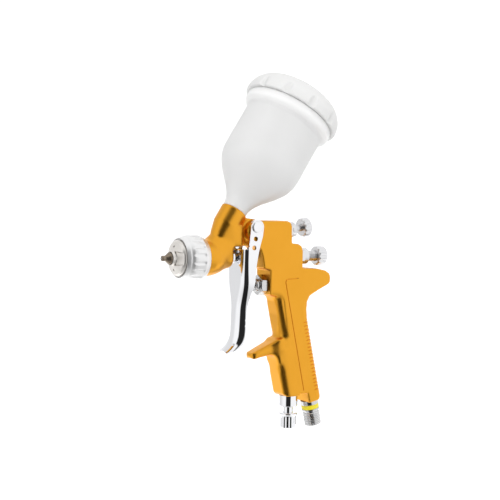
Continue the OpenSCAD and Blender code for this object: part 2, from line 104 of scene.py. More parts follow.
# Stations of the knobs along their own screws
FLUID_STATION = 57.5 * MM
SPREADER_STATION = 14 * MM
AIRFLOW_STATION = 13 * MM
AIRFLOW_KNOB_START = 13.6 * MM
AIRFLOW_AXIS = looking_along(
    Vector((middle("airflow_bushing").x, 0, pivot_of("airflow_knob_turn").z + AIRFLOW_STATION)),
    Vector((0, 0, -1)))
SPREADER_AXIS = looking_along(
    pivot_of("spreader_knob_turn") - SPREADER_STATION * axis_of("spreader_stem_slide"),
    axis_of("spreader_stem_slide"))
PIVOT_AXIS = Matrix.Translation(PIVOT) @ Matrix.Rotation(math.radians(90), 4, "X")
HALF_BODY = 10 * MM

# ---- camera, light and stage ----

# Camera angles in degrees, from the gun's left side view; lens in mm, distance in m
AZIMUTH, ELEVATION, ROLL = -32.0, 3.0, 1.0
FOCAL_LENGTH = 86.4
DISTANCE = 0.9
AIM = GUN + Vector((-1.63, 0, 5.12)) * MM
# Brightness of the studio's walls, its greyer side, the dark screen, and the share left underneath
STUDIO_LIGHT = 1.05
GREY_LIGHT = 0.82
SCREEN_LIGHT = 0.02
UNDER_LIGHT = 0.58
# Angles in degrees: where the grey side lies, and half the screen's width with its soft edge
GREY_AZIMUTH = -148.0
GREY_FULL, GREY_REACH = 12.0, 48.0
SCREEN_HALF, SCREEN_SOFT = 29.0, 6.0
# Heights as sines of the angle: the screen fades out between the first two, up and down alike,
# and the light fades to its share underneath between the other two
SCREEN_FULL, SCREEN_REACH = 0.62, 0.86
UNDER_FULL, UNDER_REACH = -0.75, -0.12
# Area light for the matt parts, in W and m
FILL_POWER = 12.0
FILL_SIZE = (1.3, 1.5)
FILL_RISE, FILL_DISTANCE = 0.25, 1.1
FLOOR_DROP = 0.14


def level_towards(azimuth):
    """Level unit vector from the gun towards an azimuth in degrees."""
    angle = math.radians(azimuth)
    return Vector((math.sin(angle), -math.cos(angle), 0))


def make_camera():
    tilt, roll = math.radians(ELEVATION), math.radians(ROLL)
    back = level_towards(AZIMUTH) * math.cos(tilt) + Vector((0, 0, math.sin(tilt)))
    level = level_towards(AZIMUTH + 90)
    upright = back.cross(level)
    right = level * math.cos(roll) + upright * math.sin(roll)
    up = upright * math.cos(roll) - level * math.sin(roll)
    camera = bpy.data.objects.new("camera", bpy.data.cameras.new("camera"))
    bpy.context.collection.objects.link(camera)
    camera.data.lens = FOCAL_LENGTH
    camera.data.clip_start = 0.01
    place = AIM + back * DISTANCE
    camera.matrix_world = Matrix((
        (right.x, up.x, back.x, place.x), (right.y, up.y, back.y, place.y),
        (right.z, up.z, back.z, place.z), (0, 0, 0, 1)))
    bpy.context.scene.camera = camera


def shade_node(tree, kind, operation, a, b=None):
    """One math step of the studio's brightness; a and b are sockets or numbers."""
    node = tree.nodes.new(kind)
    node.operation = operation
    for socket, value in zip(node.inputs, (a, b)):
        if value is None:
            continue
        if hasattr(value, "node"):
            tree.links.new(value, socket)
        else:
            socket.default_value = value
    return node.outputs[0]


def towards(tree, direction, azimuth):
    """Cosine of the level angle between a direction and an azimuth."""
    node = tree.nodes.new("ShaderNodeVectorMath")
    node.operation = "DOT_PRODUCT"
    tree.links.new(direction, node.inputs[0])
    node.inputs[1].default_value = level_towards(azimuth)
    return node.outputs["Value"]


def cos_of(degrees):
    return math.cos(math.radians(degrees))


def fade(tree, value, start, end, low, high):
    """A smooth step from low, where value is start, to high, where value is end."""
    node = tree.nodes.new("ShaderNodeMapRange")
    node.interpolation_type = "SMOOTHSTEP"
    tree.links.new(value, node.inputs["Value"])
    for name, number in (("From Min", start), ("From Max", end), ("To Min", low), ("To Max", high)):
        node.inputs[name].default_value = number
    return node.outputs["Result"]


def make_studio():
    """A white studio with one tall dark screen behind the camera, which polished parts reflect."""
    world = bpy.data.worlds.new("studio")
    bpy.context.scene.world = world
    world.use_nodes = True
    tree = world.node_tree
    where = tree.nodes.new("ShaderNodeTexCoord").outputs["Generated"]
    parts = tree.nodes.new("ShaderNodeSeparateXYZ")
    tree.links.new(where, parts.inputs["Vector"])
    flat = shade_node(tree, "ShaderNodeVectorMath", "MULTIPLY", where, (1, 1, 0))
    level = shade_node(tree, "ShaderNodeVectorMath", "NORMALIZE", flat)
    height = parts.outputs["Z"]
    across = fade(tree, towards(tree, level, AZIMUTH), cos_of(SCREEN_HALF + SCREEN_SOFT),
                  cos_of(SCREEN_HALF - SCREEN_SOFT), 0, 1)
    above = fade(tree, height, SCREEN_FULL, SCREEN_REACH, 1, 0)
    below = fade(tree, height, -SCREEN_REACH, -SCREEN_FULL, 0, 1)
    upright = shade_node(tree, "ShaderNodeMath", "MULTIPLY", above, below)
    screen = shade_node(tree, "ShaderNodeMath", "MULTIPLY", across, upright)
    side = fade(tree, towards(tree, level, GREY_AZIMUTH), cos_of(GREY_REACH), cos_of(GREY_FULL),
                STUDIO_LIGHT, GREY_LIGHT)
    dark = fade(tree, screen, 0, 1, 1, SCREEN_LIGHT)
    under = fade(tree, height, UNDER_FULL, UNDER_REACH, UNDER_LIGHT, 1)
    sides = shade_node(tree, "ShaderNodeMath", "MULTIPLY", dark, side)
    strength = shade_node(tree, "ShaderNodeMath", "MULTIPLY", sides, under)
    # The screen shows only in reflections: what lies behind the gun stays white from every side
    seen = tree.nodes.new("ShaderNodeLightPath").outputs["Is Camera Ray"]
    strength = shade_node(tree, "ShaderNodeMath", "MAXIMUM", strength, seen)
    background = tree.nodes["Background"]
    background.inputs["Color"].default_value = (1, 1, 1, 1)
    tree.links.new(strength, background.inputs["Strength"])
    bpy.context.scene.view_settings.view_transform = "Standard"


def make_fill():
    """A broad soft light behind the camera for the matt parts; polished parts don't mirror it."""
    data = bpy.data.lights.new("fill", "AREA")
    data.shape = "RECTANGLE"
    data.size, data.size_y = FILL_SIZE
    data.energy = FILL_POWER
    fill = bpy.data.objects.new("fill", data)
    bpy.context.collection.objects.link(fill)
    away = (level_towards(AZIMUTH) + Vector((0, 0, FILL_RISE))) * FILL_DISTANCE
    fill.location = AIM + away
    fill.rotation_mode = "QUATERNION"
    fill.rotation_quaternion = away.to_track_quat("Z", "Y")
    fill.visible_camera = False
    fill.visible_glossy = False


def make_stage():
    """Pale floor, well below the gun, that sweeps up into a backdrop away from the camera."""
    floor_z = CAD_LOW.z - FLOOR_DROP
    size, rise, bend, half_width = 1.6, 1.5, 0.6, 0.62
    columns = 24
    away = -level_towards(AZIMUTH)
    across = level_towards(AZIMUTH + 90)
    line = [(-0.05, 0.0), (size - bend, 0.0)]
    line += [(size - bend + bend * math.sin(t), bend - bend * math.cos(t))
             for t in np.linspace(0, math.pi / 2, 24)[1:]]
    line += [(size, rise)]
    mesh = bmesh.new()
    rows = []
    for out, up in line:
        rows.append([mesh.verts.new(away * out + across * (u * half_width) + Vector((0, 0, floor_z + up)))
                     for u in np.linspace(-1, 1, columns)])
    for low, high in zip(rows, rows[1:]):
        for i in range(columns - 1):
            mesh.faces.new((low[i], low[i + 1], high[i + 1], high[i]))
    stage = mesh_object("floor", mesh)
    stage.data.materials.append(stage_material())


# ---- mesh helpers ----


def mesh_object(name, built):
    bmesh.ops.recalc_face_normals(built, faces=built.faces)
    data = bpy.data.meshes.new(name)
    built.to_mesh(data)
    built.free()
    data.shade_smooth()
    piece = bpy.data.objects.new(name, data)
    bpy.context.collection.objects.link(piece)
    return piece


def rounded(profile, radius, steps=3):
    """The profile with its inner corners turned into short curves."""
    points = [np.array(p, float) for p in profile]
    out = [points[0]]
    for before, corner, after in zip(points, points[1:], points[2:]):
        back, on = before - corner, after - corner
        reach_back = min(radius, 0.45 * np.linalg.norm(back))
        reach_on = min(radius, 0.45 * np.linalg.norm(on))
        start = corner + back / np.linalg.norm(back) * reach_back
        end = corner + on / np.linalg.norm(on) * reach_on
        for t in np.linspace(0, 1, steps + 1):
            out.append((1 - t) ** 2 * start + 2 * t * (1 - t) * corner + t * t * end)
    out.append(points[-1])
    return out


def split_long(profile, longest):
    """The profile with its long straight runs divided."""
    out = [np.array(profile[0], float)]
    for a, b in zip(profile, profile[1:]):
        a, b = np.array(a, float), np.array(b, float)
        count = max(1, math.ceil(np.linalg.norm(b - a) / longest))
        out += [a + (b - a) * i / count for i in range(1, count + 1)]
    return out


def lathe(name, place, profile, segments=96, shape=None, closed=False):
    """Turns a profile of (station, radius) in mm round the z of place; shape may vary the radius."""
    built = bmesh.new()
    rows = []
    for station, radius in profile:
        if radius < 1e-6:
            rows.append([built.verts.new(place @ Vector((0, 0, station * MM)))])
            continue
        row = []
        for k in range(segments):
            turn = 2 * math.pi * k / segments
            r = shape(turn, station, radius) if shape else radius
            spot = Vector((r * math.cos(turn), r * math.sin(turn), station)) * MM
            row.append(built.verts.new(place @ spot))
        rows.append(row)
    pairs = list(zip(rows, rows[1:]))
    if closed:
        pairs.append((rows[-1], rows[0]))
    for a, b in pairs:
        for k in range(segments):
            n = (k + 1) % segments
            if len(a) == 1 and len(b) == 1:
                break
            if len(a) == 1:
                built.faces.new((a[0], b[n], b[k]))
            elif len(b) == 1:
                built.faces.new((a[k], a[n], b[0]))
            else:
                built.faces.new((a[k], a[n], b[n], b[k]))
    piece = mesh_object(name, built)
    weight_normals(piece)
    return piece


def weight_normals(piece):
    modifier = piece.modifiers.new("flat faces stay flat", "WEIGHTED_NORMAL")
    modifier.keep_sharp = True


def bake(piece):
    """Applies every modifier of the piece."""
    graph = bpy.context.evaluated_depsgraph_get()
    data = bpy.data.meshes.new_from_object(piece.evaluated_get(graph), depsgraph=graph)
    piece.modifiers.clear()
    piece.data = data


def sharpen(piece, degrees):
    """Shades every edge over the angle as a sharp one."""
    piece.data.set_sharp_from_angle(angle=math.radians(degrees))


# ---- materials ----

GRAIN_DEPTH = 0.03 * MM
EVEN = (1, 1, 1)


def new_material(name):
    """A node material with its tree and its Principled shader."""
    material = bpy.data.materials.new(name)
    material.use_nodes = True
    tree = material.node_tree
    return material, tree, tree.nodes["Principled BSDF"]


def object_coordinates(tree, scale=EVEN):
    where = tree.nodes.new("ShaderNodeTexCoord")
    mapping = tree.nodes.new("ShaderNodeMapping")
    mapping.inputs["Scale"].default_value = scale
    tree.links.new(where.outputs["Object"], mapping.inputs["Vector"])
    return mapping.outputs["Vector"]


def noise(tree, vector, scale, detail):
    node = tree.nodes.new("ShaderNodeTexNoise")
    node.inputs["Scale"].default_value = scale
    node.inputs["Detail"].default_value = detail
    node.inputs["Roughness"].default_value = 0.5
    tree.links.new(vector, node.inputs["Vector"])
    return node.outputs["Fac"]


def mixed(tree, factor, a, b):
    """Colour between a and b."""
    node = tree.nodes.new("ShaderNodeMix")
    node.data_type = "RGBA"
    node.inputs["A"].default_value = (*a, 1)
    node.inputs["B"].default_value = (*b, 1)
    tree.links.new(factor, node.inputs["Factor"])
    return node.outputs["Result"]


def spread(tree, factor, low, high):
    """Maps 0 to 1 onto low to high."""
    node = tree.nodes.new("ShaderNodeMapRange")
    node.inputs["To Min"].default_value = low
    node.inputs["To Max"].default_value = high
    tree.links.new(factor, node.inputs["Value"])
    return node.outputs["Result"]


def bump(tree, shader, height, strength):
    """A very shallow relief on the shader's surface."""
    node = tree.nodes.new("ShaderNodeBump")
    node.inputs["Strength"].default_value = strength
    node.inputs["Distance"].default_value = GRAIN_DEPTH
    tree.links.new(height, node.inputs["Height"])
    tree.links.new(node.outputs["Normal"], shader.inputs["Normal"])


def metal(name, dark, light, rough, grain, grain_strength, streak=EVEN):
    """Metal with slow colour drift, uneven polish and a fine surface grain."""
    material, tree, shader = new_material(name)
    still = object_coordinates(tree)
    streaked = object_coordinates(tree, streak)
    drift = noise(tree, still, 45.0, 4.0)
    polish = noise(tree, streaked, 260.0, 3.0)
    fine = noise(tree, streaked, grain, 2.0)
    shader.inputs["Metallic"].default_value = 1.0
    tree.links.new(mixed(tree, drift, dark, light), shader.inputs["Base Color"])
    tree.links.new(spread(tree, polish, rough[0], rough[1]), shader.inputs["Roughness"])
    bump(tree, shader, fine, grain_strength)
    return material


def plastic(name, dark, light, rough, subsurface=0.0, depth=10.0):
    """Plastic with slow colour drift, uneven gloss and a fine grain; depth (mm) of the light in it."""
    material, tree, shader = new_material(name)
    still = object_coordinates(tree)
    drift = noise(tree, still, 30.0, 3.0)
    polish = noise(tree, still, 400.0, 3.0)
    fine = noise(tree, still, 1500.0, 2.0)
    tree.links.new(mixed(tree, drift, dark, light), shader.inputs["Base Color"])
    tree.links.new(spread(tree, polish, rough[0], rough[1]), shader.inputs["Roughness"])
    shader.inputs["Subsurface Weight"].default_value = subsurface
    shader.inputs["Subsurface Radius"].default_value = Vector(EVEN) * depth * MM
    shader.inputs["Subsurface Scale"].default_value = 1.0
    bump(tree, shader, fine, 0.08)
    return material


def stage_material():
    material, tree, shader = new_material("pale_floor")
    drift = noise(tree, object_coordinates(tree), 6.0, 2.0)
    tree.links.new(mixed(tree, drift, (0.90, 0.90, 0.90), (0.93, 0.93, 0.93)),
                   shader.inputs["Base Color"])
    shader.inputs["Roughness"].default_value = 0.9
    shader.inputs["Emission Color"].default_value = (1, 1, 1, 1)
    shader.inputs["Emission Strength"].default_value = 0.34
    return material


GOLD = metal("gold_anodised", (0.80, 0.365, 0.03), (0.87, 0.405, 0.04), (0.30, 0.35), 2600.0, 0.12)
CHROME = metal("chrome", (0.84, 0.85, 0.87), (0.92, 0.92, 0.94), (0.03, 0.06), 900.0, 0.02)
SATIN = metal("satin_silver", (0.72, 0.72, 0.73), (0.80, 0.80, 0.81), (0.24, 0.32), 1500.0, 0.05)
CAP_METAL = metal("cap_metal", (0.80, 0.77, 0.73), (0.87, 0.84, 0.80), (0.30, 0.38), 1500.0, 0.04)
RING_METAL = metal("ring_silver", (0.86, 0.86, 0.86), (0.93, 0.93, 0.93), (0.36, 0.44), 1500.0, 0.04)
DARK_STEEL = metal("dark_steel", (0.20, 0.16, 0.12), (0.33, 0.27, 0.21), (0.22, 0.34), 1200.0, 0.2,
                   (5, 1, 1))
STEEL = metal("steel", (0.60, 0.60, 0.60), (0.72, 0.72, 0.72), (0.14, 0.24), 1500.0, 0.15, (6, 1, 1))
MILK = plastic("milk_plastic", (0.91, 0.91, 0.905), (0.94, 0.94, 0.935), (0.36, 0.46), 0.6, 12)
LID_MILK = plastic("lid_plastic", (0.70, 0.70, 0.695), (0.73, 0.73, 0.725), (0.36, 0.46), 0.3, 6)
MESH = plastic("filter_mesh", (0.78, 0.78, 0.75), (0.86, 0.86, 0.83), (0.45, 0.6))
BLACK = plastic("black_polymer", (0.02, 0.02, 0.02), (0.05, 0.05, 0.05), (0.4, 0.6))
WHITE_SEAL = plastic("white_seal", (0.80, 0.80, 0.78), (0.88, 0.88, 0.86), (0.4, 0.5))
YELLOW = plastic("yellow_plastic", (0.80, 0.66, 0.02), (0.88, 0.76, 0.04), (0.22, 0.32))
SLOT_MATERIALS = {
    "gold": GOLD, "chrome": CHROME, "satin_silver": SATIN, "cap_metal": CAP_METAL,
    "dark_steel": DARK_STEEL, "steel": STEEL, "milk_plastic": MILK, "filter_mesh": MESH,
    "black_polymer": BLACK, "white_seal": WHITE_SEAL, "yellow_plastic": YELLOW,
}
# Pieces whose finish differs a little from the rest of their slot
OWN_FINISH = {
    "air_cap_ring": RING_METAL, "air_valve_nut": STEEL, "needle_housing": SATIN,
    "spreader_bushing": SATIN, "cup_lid": LID_MILK, "lid_vent_plug": LID_MILK,
}

# ---- ways of shaping ----


def at(x, z, y=0.0):
    """A point given in mm in gun axes: x along the needle, z up, y across."""
    return GUN + Vector((x, y, z)) * MM


def soft_min(a, b, width):
    """The smaller of two radii, with the corner between them rounded."""
    closeness = max(width - abs(a - b), 0.0) / width
    return min(a, b) - closeness * closeness * width / 4


def fluted(count, centre, groove, start, end, run_out=1.2, offset=0.0):
    """Round grooves along a knob or ring, which run out smoothly before both stations."""
    pitch = 2 * math.pi / count

    def shape(turn, station, radius):
        if not start < station < end:
            return radius
        t = 1 - min(station - start, end - station, run_out) / run_out
        lifted = centre + (1 - math.sqrt(1 - t * t)) * max(radius - centre + groove, 0)
        delta = (turn - offset + pitch / 2) % pitch - pitch / 2
        side = lifted * math.sin(delta)
        if abs(side) >= groove:
            return radius
        bottom = lifted * math.cos(delta) - math.sqrt(groove * groove - side * side)
        return soft_min(radius, bottom, 0.3)
    return shape


def hexed(across, start, end):
    """Six flats between two stations."""
    def shape(turn, station, radius):
        if not start <= station <= end:
            return radius
        flat = across / 2 / math.cos(turn % math.radians(60) - math.radians(30))
        return soft_min(radius, flat, 0.12)
    return shape


def threaded(start, end, pitch, depth):
    """A helical V thread that fades out at both ends."""
    def shape(turn, station, radius):
        if not start < station < end:
            return radius
        phase = (station / pitch + turn / (2 * math.pi)) % 1.0
        fade = min(1.0, (station - start) / pitch, (end - station) / pitch)
        return radius - depth * fade * abs(2 * phase - 1)
    return shape


def rounded_ring(profile, radius, steps=3):
    """As rounded(), for a profile that closes on itself."""
    wrapped = [profile[-1], *profile, profile[0]]
    return rounded(wrapped, radius, steps)[1:-1]


def smooth_line(points, steps=8):
    """A curve through every point (Catmull-Rom)."""
    line = [np.array(p, float) for p in points]
    line = [2 * line[0] - line[1], *line, 2 * line[-1] - line[-2]]
    out = []
    for a, b, c, d in zip(line, line[1:], line[2:], line[3:]):
        for t in np.linspace(0, 1, steps, endpoint=False):
            out.append(0.5 * (2 * b + (c - a) * t + (2 * a - 5 * b + 4 * c - d) * t ** 2
                              + (3 * b - a - 3 * c + d) * t ** 3))
    out.append(line[-2])
    return out


def extruded(name, place, points, low, high):
    """A closed prism: the outline (mm, in the place's xy) from low to high along its z."""
    built = bmesh.new()
    levels = []
    for level in (low, high):
        levels.append([built.verts.new(place @ (Vector((p[0], p[1], level)) * MM)) for p in points])
    count = len(points)
    for i in range(count):
        n = (i + 1) % count
        built.faces.new((levels[0][i], levels[0][n], levels[1][n], levels[1][i]))
    built.faces.new(levels[0])
    built.faces.new(levels[1])
    return mesh_object(name, built)


def block(place, low, high):
    """A box between two corners (mm) of the place."""
    points = [(low[0], low[1]), (high[0], low[1]), (high[0], high[1]), (low[0], high[1])]
    return extruded("block", place, points, low[2], high[2])


def rod(place, start, end, radius, segments=48):
    return lathe("rod", place, [(start, 0), (start, radius), (end, radius), (end, 0)], segments)


def combine(piece, others, how, solver="EXACT"):
    """Cuts, joins or intersects the piece with the others, which are then removed."""
    for other in others:
        modifier = piece.modifiers.new("combine", "BOOLEAN")
        modifier.operation = how
        modifier.solver = solver
        modifier.object = other
    bake(piece)
    for other in others:
        bpy.data.objects.remove(other)


def merged(name, pieces):
    """One mesh that holds every piece's faces; the pieces are removed."""
    built = bmesh.new()
    for piece in pieces:
        built.from_mesh(piece.data)
        bpy.data.objects.remove(piece)
    data = bpy.data.meshes.new(name)
    built.to_mesh(data)
    built.free()
    whole = bpy.data.objects.new(name, data)
    bpy.context.collection.objects.link(whole)
    return whole


def remesh(piece, voxel):
    """Rebuilds the piece from even cells, so that it can be smoothed."""
    modifier = piece.modifiers.new("remesh", "REMESH")
    modifier.mode = "VOXEL"
    modifier.voxel_size = voxel * MM
    bake(piece)


def smooth(piece, steps, weigh=None):
    """Relaxes the surface; weigh gives each vertex (mm, gun axes) a share between 0 and 1."""
    modifier = piece.modifiers.new("smooth", "SMOOTH")
    modifier.factor = 0.5
    modifier.iterations = steps
    if weigh is not None:
        spots = np.empty(len(piece.data.vertices) * 3)
        piece.data.vertices.foreach_get("co", spots)
        weights = weigh((spots.reshape(-1, 3) - np.array(GUN)) / MM)
        group = piece.vertex_groups.new(name="share")
        for level in range(1, 21):
            chosen = np.nonzero(np.rint(weights * 20) == level)[0]
            if len(chosen):
                group.add(chosen.tolist(), level / 20, "REPLACE")
        modifier.vertex_group = "share"
    bake(piece)
    piece.vertex_groups.clear()


def soften_edges(piece, width, degrees):
    """Bevels every edge sharper than the angle."""
    modifier = piece.modifiers.new("soft edges", "BEVEL")
    modifier.width = width * MM
    modifier.segments = 2
    modifier.limit_method = "ANGLE"
    modifier.angle_limit = math.radians(degrees)
    modifier.use_clamp_overlap = True
    modifier.harden_normals = False
    bake(piece)
    piece.data.shade_smooth()
    weight_normals(piece)


def stand_for(piece, node):
    """The piece takes the node's place, body and finish."""
    slot = SLOT_OF[node]
    piece.data.materials.clear()
    piece.data.materials.append(OWN_FINISH.get(node, SLOT_MATERIALS[slot]))
    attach(piece, BODY_OF[node])
    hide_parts(node)


def turned(node, place, profile, radius=0.25, segments=96, shape=None, closed=False, longest=0.8):
    """Lathes a piece that stands for the node, with its corners slightly rounded."""
    line = rounded_ring(profile, radius) if closed else rounded(profile, radius)
    if shape:
        line = split_long([*line, line[0]], longest)[:-1] if closed else split_long(line, longest)
    stand_for(lathe(node + "_look", place, line, segments, shape, closed), node)


# ---- body ----

GUN_FRAME = Matrix.Translation(GUN)
SIDE_VIEW = GUN_FRAME @ Matrix.Rotation(math.radians(90), 4, "X")
LEAN = math.radians(-12.5)
GRIP_AXIS = Matrix.Translation(at(44, -107)) @ Matrix.Rotation(LEAN, 4, "Y")
LINE_AXIS = Matrix.Translation(at(24.6, -20)) @ Matrix.Rotation(LEAN, 4, "Y")
GRIP_TOP = 57
GRIP_REAR, REAR_CORNER = 15.7, 4.5
# The rim of the cup's seat (x, z in gun axes) and the way that the cup leans
CUP_RIM = (-16.1, 34.6)
CUP_LEAN = (math.sin(math.radians(33)), math.cos(math.radians(33)))
RIB_TOP = 55.2
RIB_COUNT = 20
RIB_PITCH = 2.82
RIB_HEIGHT = 1.0
RIB_DEPTH = 0.95
# Corners of the side panel's groove, in gun axes (x, z)
PANEL_PATH = [(36, -16.4), (24, -16.9), (43, -103)]
GROOVE_HALF, GROOVE_DEPTH = 0.34, 0.45
SCOOP_DEPTH = 0.6
BODY_VOXEL = 0.42
ROUND_STEPS, BLEND_STEPS = 14, 150
KEPT_SHARE = 0.5
# Where the crisp seats lie: above this height under the cup's rim, ahead of the boss's back,
# and ahead of the barrel's end
SEAT_HEIGHT, BOSS_BACK, BARREL_END = -2.5, -3, -40


def near(spots, centre, reach, full):
    """1 within full mm of the centre, fading to 0 at reach mm; both sides of the gun count alike."""
    folded = np.column_stack((spots[:, 0], np.abs(spots[:, 1]), spots[:, 2]))
    distance = np.linalg.norm(folded - np.array(centre), axis=1)
    t = np.clip((reach - distance) / (reach - full), 0, 1)
    return t * t * (3 - 2 * t)


def round_all(spots):
    """Every edge of the forging is a little round, but the seats of the cup and ring stay crisp."""
    weights = np.ones(len(spots))
    along_cup = (spots[:, 0] - CUP_RIM[0]) * CUP_LEAN[0] + (spots[:, 2] - CUP_RIM[1]) * CUP_LEAN[1]
    weights[(along_cup > SEAT_HEIGHT) & (spots[:, 0] < BOSS_BACK)] = 0.3
    weights[spots[:, 0] < BARREL_END] = 0.25
    return weights


def blend_zones(spots):
    """Where the forging flows from one shape into another."""
    zones = [((-22, 0, 13), 17, 9), ((-29, 0, 11), 14, 8), ((-14, 0, 19), 10, 5),
             ((-21, 6, 12), 10, 5), ((17, 7, -72), 9, 4), ((19, 8, -62), 10, 6),
             ((20, 0, -61), 11, 6), ((8, 6, -71), 9, 5), ((22, 9, -80), 10, 6),
             ((21, 0, -79), 10, 6), ((16, 9, -31), 7, 3), ((47, 9, -36), 12, 7),
             ((47, 0, -36), 14, 9), ((0, 0, -75), 5, 2), ((-25, 7, -1), 12, 7),
             ((-19, 3, -2), 10, 6)]
    weights = np.zeros(len(spots))
    for centre, reach, full in zones:
        weights = np.maximum(weights, near(spots, centre, reach, full))
    weights[spots[:, 0] < BARREL_END] *= 0.1
    return weights


def panel_line():
    """Path of the side panel's groove, in gun axes (x, z)."""
    corner = rounded(PANEL_PATH, 3.2, 6)
    return split_long(corner, 2.0)


def groove_cutter(side, path):
    """A V-sided strip that follows the path on one side face."""
    built = bmesh.new()
    rows = []
    bottom = side * (HALF_BODY / MM - GROOVE_DEPTH)
    top = side * (HALF_BODY / MM + 0.6)
    section = [(-1.6, top), (-0.5, bottom), (0.5, bottom), (1.6, top)]
    for i, spot in enumerate(path):
        ahead = path[min(i + 1, len(path) - 1)] - path[max(i - 1, 0)]
        across = np.array((-ahead[1], ahead[0])) / np.linalg.norm(ahead) * GROOVE_HALF
        rows.append([built.verts.new(at(spot[0] + k * across[0], spot[1] + k * across[1], y))
                     for k, y in section])
    for a, b in zip(rows, rows[1:]):
        for k in range(4):
            n = (k + 1) % 4
            built.faces.new((a[k], a[n], b[n], b[k]))
    built.faces.new(rows[0])
    built.faces.new(list(reversed(rows[-1])))
    return mesh_object("groove", built)


def scoop_cutter(side):
    """Lowers the side face in front of the grip's panel, so that the panel ends in a soft ridge."""
    edge = smooth_line([(9.6, -27.9), (15, -27.6), (20.6, -28.8), (23.6, -32.6), (24.6, -38),
                        (26.9, -52), (27.4, -58), (26.2, -63), (22.6, -66.2), (19.0, -67.4)], 5)
    outline = [*edge, (4, -70), (4, -27.9)]
    wide = HALF_BODY / MM
    low, high = sorted((side * (wide - SCOOP_DEPTH), side * (wide + 2)))
    return extruded("scoop", SIDE_VIEW, outline, low, high)


def rear_arc(inset, steps=8):
    """Section of the grip's rear corners and back, from one side face to the other."""
    wide = HALF_BODY / MM - inset
    centre = (GRIP_REAR - REAR_CORNER, HALF_BODY / MM - REAR_CORNER)
    r = REAR_CORNER - inset
    arc = [(centre[0] - 1.4, wide)]
    arc += [(centre[0] + r * math.sin(t), centre[1] + r * math.cos(t))
            for t in np.linspace(0, math.pi / 2, steps)]
    return arc + [(x, -y) for x, y in reversed(arc)]


def rib_cutter(height):
    """One shallow groove that wraps the rear of the grip."""
    outline = rear_arc(-1.0) + rear_arc(RIB_DEPTH)[::-1]
    return extruded("rib", GRIP_AXIS, outline, height, height + RIB_HEIGHT)


def build_gun_body():
    """The CAD body with its edges and blends softened and finer grooves and ribs cut in."""
    node = frame["nodes"]["gun_body"]
    forged = bpy.data.objects.new("forged", node.data.copy())
    bpy.context.collection.objects.link(forged)
    wide = HALF_BODY / MM
    # Fill the CAD body's own ribs and side grooves, which the cells would blur
    fillers = [extruded("filler", GRIP_AXIS, rear_arc(0) + [(8, -wide), (8, wide)], 0.5, GRIP_TOP)]
    for side in (-1, 1):
        low, high = sorted((side * 9.2, side * wide))
        fillers.append(block(GUN_FRAME, (23.6, low, -17.4), (36.6, high, -15.8)))
        fillers.append(block(LINE_AXIS, (-0.6, low, -84.6), (1.3, high, 0.6)))
    piece = merged("gun_body_look", [forged, *fillers])
    remesh(piece, BODY_VOXEL)
    combine(piece, [scoop_cutter(side) for side in (-1, 1)], "DIFFERENCE", "MANIFOLD")
    remesh(piece, BODY_VOXEL)
    smooth(piece, ROUND_STEPS, round_all)
    smooth(piece, BLEND_STEPS, blend_zones)
    thin = piece.modifiers.new("thin", "DECIMATE")
    thin.ratio = KEPT_SHARE
    bake(piece)
    cutters = [groove_cutter(side, panel_line()) for side in (-1, 1)]
    cutters += [rib_cutter(RIB_TOP - k * RIB_PITCH) for k in range(RIB_COUNT)]
    combine(piece, cutters, "DIFFERENCE", "MANIFOLD")
    piece.data.shade_smooth()
    sharpen(piece, 38)
    stand_for(piece, "gun_body")


# ---- trigger ----

SHEET = 1.8
ARM_REAR = 7.0
PLATE_TOP = 6.2
TOP_HALF_WIDTH, BLADE_HALF_WIDTH = 13, 9
EYE_R = 5.6
NEEDLE_SLOT_HALF = 3.2
# Past every face of the trigger, for what cuts it
BEYOND = 20


def ease(value, start, end):
    """0 below start, 1 above end, smooth between."""
    t = min(max((value - start) / (end - start), 0.0), 1.0)
    return t * t * (3 - 2 * t)


def trigger_row(z, front, slope):
    """Loop of the bent sheet at one height: outside round, then back along the inside."""
    half = TOP_HALF_WIDTH - (TOP_HALF_WIDTH - BLADE_HALF_WIDTH) * ease(-z, 17, 40)
    bend = 5.5 + 2.5 * ease(-z, 0, 36) + 0.8 * ease(-z, 36, 60)
    wall = SHEET * math.sqrt(1 + slope * slope)
    loops = []
    for inset, ahead in ((0, 0), (SHEET, wall)):
        w, nose = half - inset, front + ahead
        r = max(bend - inset, 0.6)
        r_x = bend - ahead if bend - ahead > 0.6 else 0.6
        side = [(ARM_REAR + (nose + r_x - ARM_REAR) * t, w) for t in np.linspace(0, 1, 9)]
        side += [(nose + r_x - r_x * math.sin(t), w - r + r * math.cos(t))
                 for t in np.linspace(0, math.pi / 2, 11)[1:]]
        side += [(nose, (w - r) * t) for t in (0.66, 0.33)]
        loops.append([*side, (nose, 0), *((x, -y) for x, y in reversed(side))])
    return loops[0] + loops[1][::-1]


def bent_sheet(name):
    """The trigger's sheet before it is cut to its outline."""
    front = smooth_line([(-14.4, 30), (-14.4, PLATE_TOP), (-14.9, -20), (-15.6, -40), (-16.4, -55),
                         (-17.4, -60.4), (-19.4, -64.2), (-22.4, -67), (-25.3, -69.2),
                         (-29.3, -72.2)])
    heights = np.array([p[1] for p in front])[::-1]
    stations = np.array([p[0] for p in front])[::-1]
    built = bmesh.new()
    rows = []
    levels = np.concatenate([np.arange(-71.6, -56, 0.6), np.arange(-56, 29.5, 1.4)])
    for z in levels:
        x = float(np.interp(z, heights, stations))
        slope = float(np.interp(z + 0.5, heights, stations) - np.interp(z - 0.5, heights, stations))
        rows.append([built.verts.new(at(px, z, py)) for px, py in trigger_row(z, x, slope)])
    count = len(rows[0])
    for low, high in zip(rows, rows[1:]):
        for i in range(count):
            n = (i + 1) % count
            built.faces.new((low[i], low[n], high[n], high[i]))
    half = count // 2
    for row in (rows[0], rows[-1]):
        for i in range(half - 1):
            built.faces.new((row[i], row[i + 1], row[count - 2 - i], row[count - 1 - i]))
    return mesh_object(name, built)


